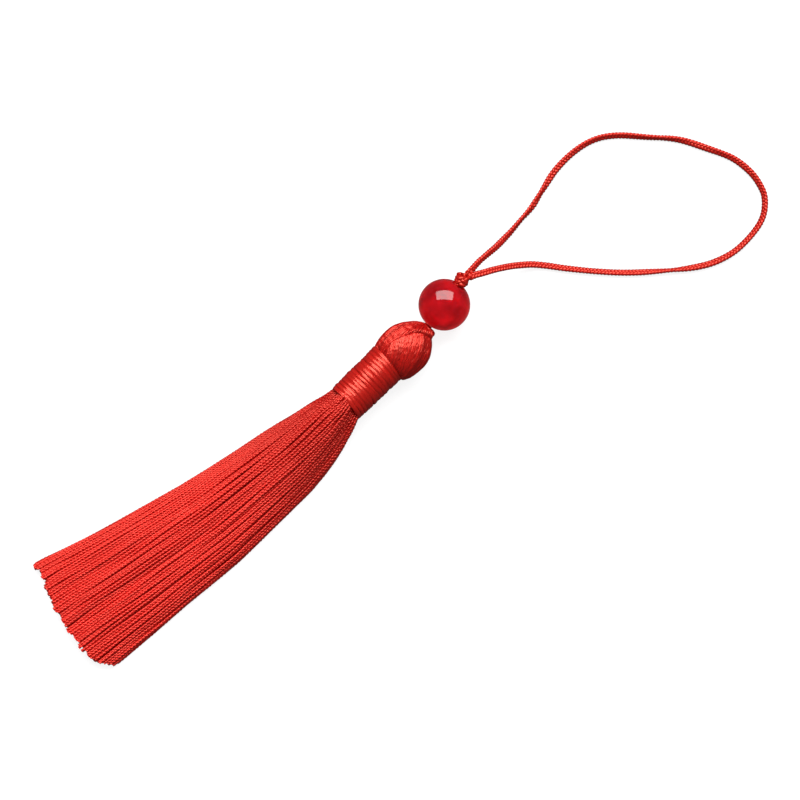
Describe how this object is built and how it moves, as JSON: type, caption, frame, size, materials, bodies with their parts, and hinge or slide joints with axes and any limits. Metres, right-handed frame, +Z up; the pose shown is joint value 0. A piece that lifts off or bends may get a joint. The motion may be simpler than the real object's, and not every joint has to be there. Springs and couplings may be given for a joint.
{
  "type": "silk tassel",
  "caption": "Red silk tassel lying flat: a fanned skirt of cut threads, a bound neck, a round head, a polished bead and a braided hanging loop with knots.",
  "frame": {"origin": "on the surface the tassel lies on, under the middle of the box of the tassel without its loop", "axes": "+X from the skirt's cut ends to the loop, +Y across the tassel, +Z up from the surface"},
  "size_m": [0.1279, 0.0302, 0.008],
  "materials": {
    "silk_thread": "twisted silk thread with a soft satin sheen, bright red",
    "winding_thread": "the same thread wound tight in flat turns, satin",
    "braided_cord": "fine round braid, red, knotted on both sides of the bead",
    "polished_bead": "polished, slightly translucent deep red",
    "loop_cord": "fine round braid, red"
  },
  "bodies": {
    "root": {"thread_hank": "silk_thread", "neck_binding": "winding_thread", "hanging_cord": "braided_cord", "bead": "polished_bead", "loop": "loop_cord"}
  },
  "joints": []
}
